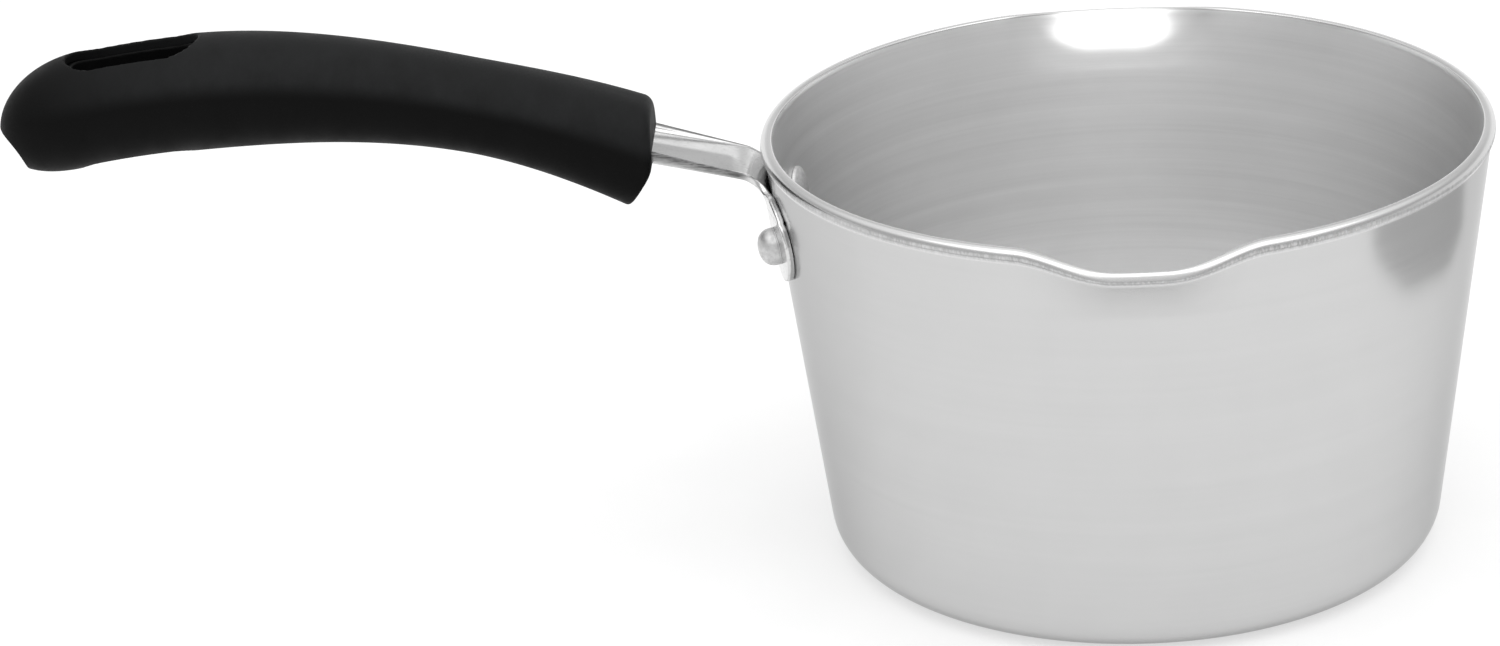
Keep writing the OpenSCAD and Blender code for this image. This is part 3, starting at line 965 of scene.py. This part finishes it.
def make_world():
    """Pale room. Behind the pot it is bright low down, in front it is bright high up.

    The ramps give its brightness from straight down, at 0, to straight up, at 1."""
    world = bpy.data.worlds.new("room")
    bpy.context.scene.world = world
    world.use_nodes = True
    nodes = Nodes(world.node_tree)
    place = nodes.add("ShaderNodeTexCoord").outputs["Generated"]
    toward = nodes.add("ShaderNodeSeparateXYZ", Vector=place).outputs

    def ramp(*stops):
        made = nodes.add("ShaderNodeValToRGB", Fac=toward["Z"])
        elements = made.color_ramp.elements
        while len(elements) < len(stops):
            elements.new(0.5)
        for element, (position, value) in zip(elements, stops):
            element.position = position
            element.color = (*grey(value), 1)
        return made.outputs["Color"]

    behind = ramp((0.0, 1.12), (0.27, 1.12), (0.35, 0.58), (0.5, 0.6), (0.7, 1.1))
    before = ramp((0.0, 0.68), (0.5, 0.68), (0.64, 0.85), (0.78, 1.3), (1.0, 1.15))
    side = nodes.span(toward["Y"], (-0.15, 0.15))
    blend = nodes.add("ShaderNodeMixRGB", Fac=side, Color1=before, Color2=behind)
    # it dims to both sides, with the square of X
    square = nodes.math("MULTIPLY", toward["X"], toward["X"])
    strength = nodes.math("MULTIPLY_ADD", square, -0.3, 1.02)
    background = nodes.tree.nodes["Background"]
    nodes.link(blend.outputs[0], background.inputs["Color"])
    nodes.link(strength, background.inputs["Strength"])


def flat_mesh(name, corners, material):
    mesh = bpy.data.meshes.new(name)
    mesh.from_pydata(corners, [], [tuple(range(len(corners)))])
    mesh.materials.append(material)
    piece = bpy.data.objects.new(name, mesh)
    bpy.context.scene.collection.objects.link(piece)
    return piece


def make_grey_card():
    """Grey card beside the pot that only shows as a reflection in its side."""
    paper = Shader("card_paper", grey(0.52), 0.0, 0.9, Specular_IOR_Level=0.1)
    height = 0.001
    near_edge = [(0.183, 0.093), (0.176, 0.059), (0.181, 0.014)]
    near_edge += [(0.18, -0.022), (0.186, -0.052), (0.189, -0.072)]
    far_edge = [(0.6, -0.22), (0.6, 0.2)]
    corners = [(x, y, height) for x, y in near_edge + far_edge]
    card = flat_mesh("card", corners, paper.material)
    card.visible_camera = False
    card.visible_diffuse = False
    card.visible_shadow = False


def make_floor():
    """White paper floor that glows a little, so that it stays white under soft light."""
    glow = {"Emission_Color": (*grey(1), 1), "Emission_Strength": 0.51}
    paper = Shader("floor_paper", grey(0.52), 0.0, 0.9, Specular_IOR_Level=0.1, **glow)
    fibre = paper.span(paper.noise(paper.place(), 40.0, 4.0), NOISE_RANGE)
    paper.feed("Base Color", paper.tint(fibre, grey(0.51), grey(0.53)))
    floor_r = 9.0
    angles = np.radians(np.arange(0, 360, 3))
    circle = [(floor_r * math.cos(a), floor_r * math.sin(a), 0) for a in angles]
    flat_mesh("floor", circle, paper.material)


def make_stage():
    make_world()
    make_floor()
    make_grey_card()
    softbox("top", place=(0.06, -0.45, 1.3), target=(0, 0, 0.05), size=(2.4, 1.5), power=8.5)


def set_view():
    """Plain colour: no film curve."""
    view = bpy.context.scene.view_settings
    view.view_transform = "Standard"
    view.look = "None"
    view.exposure = 0
    view.gamma = 1


# ---------------------------------------------------------------- all together

make_camera()
set_view()
make_stage()

build_pot(
    spun_metal("pot_outside", 0.58, 0.13, ring_depth=0.0004, ring_tone=0.012, grazing=0.7),
    rim_metal(),
    spun_metal("pot_inside", 0.885, 0.28, ring_depth=0.0006, ring_tone=0.06, grazing=1.0),
)
build_bracket(bright_metal())
rivet_finish = rivet_metal()
build_rivet("rivet_1", 1, rivet_finish, "rivet_near")
build_rivet("rivet_2", -1, rivet_finish, "rivet_far")
build_grip(
    matt_black("sleeve_black", 0.0035, 0.55, level=0.06, grain_depth=0.03, top_sheen_and_dust=4.8),
    matt_black("core_black", 0.003, 0.45, level=0.06, grain_depth=0.01),
)
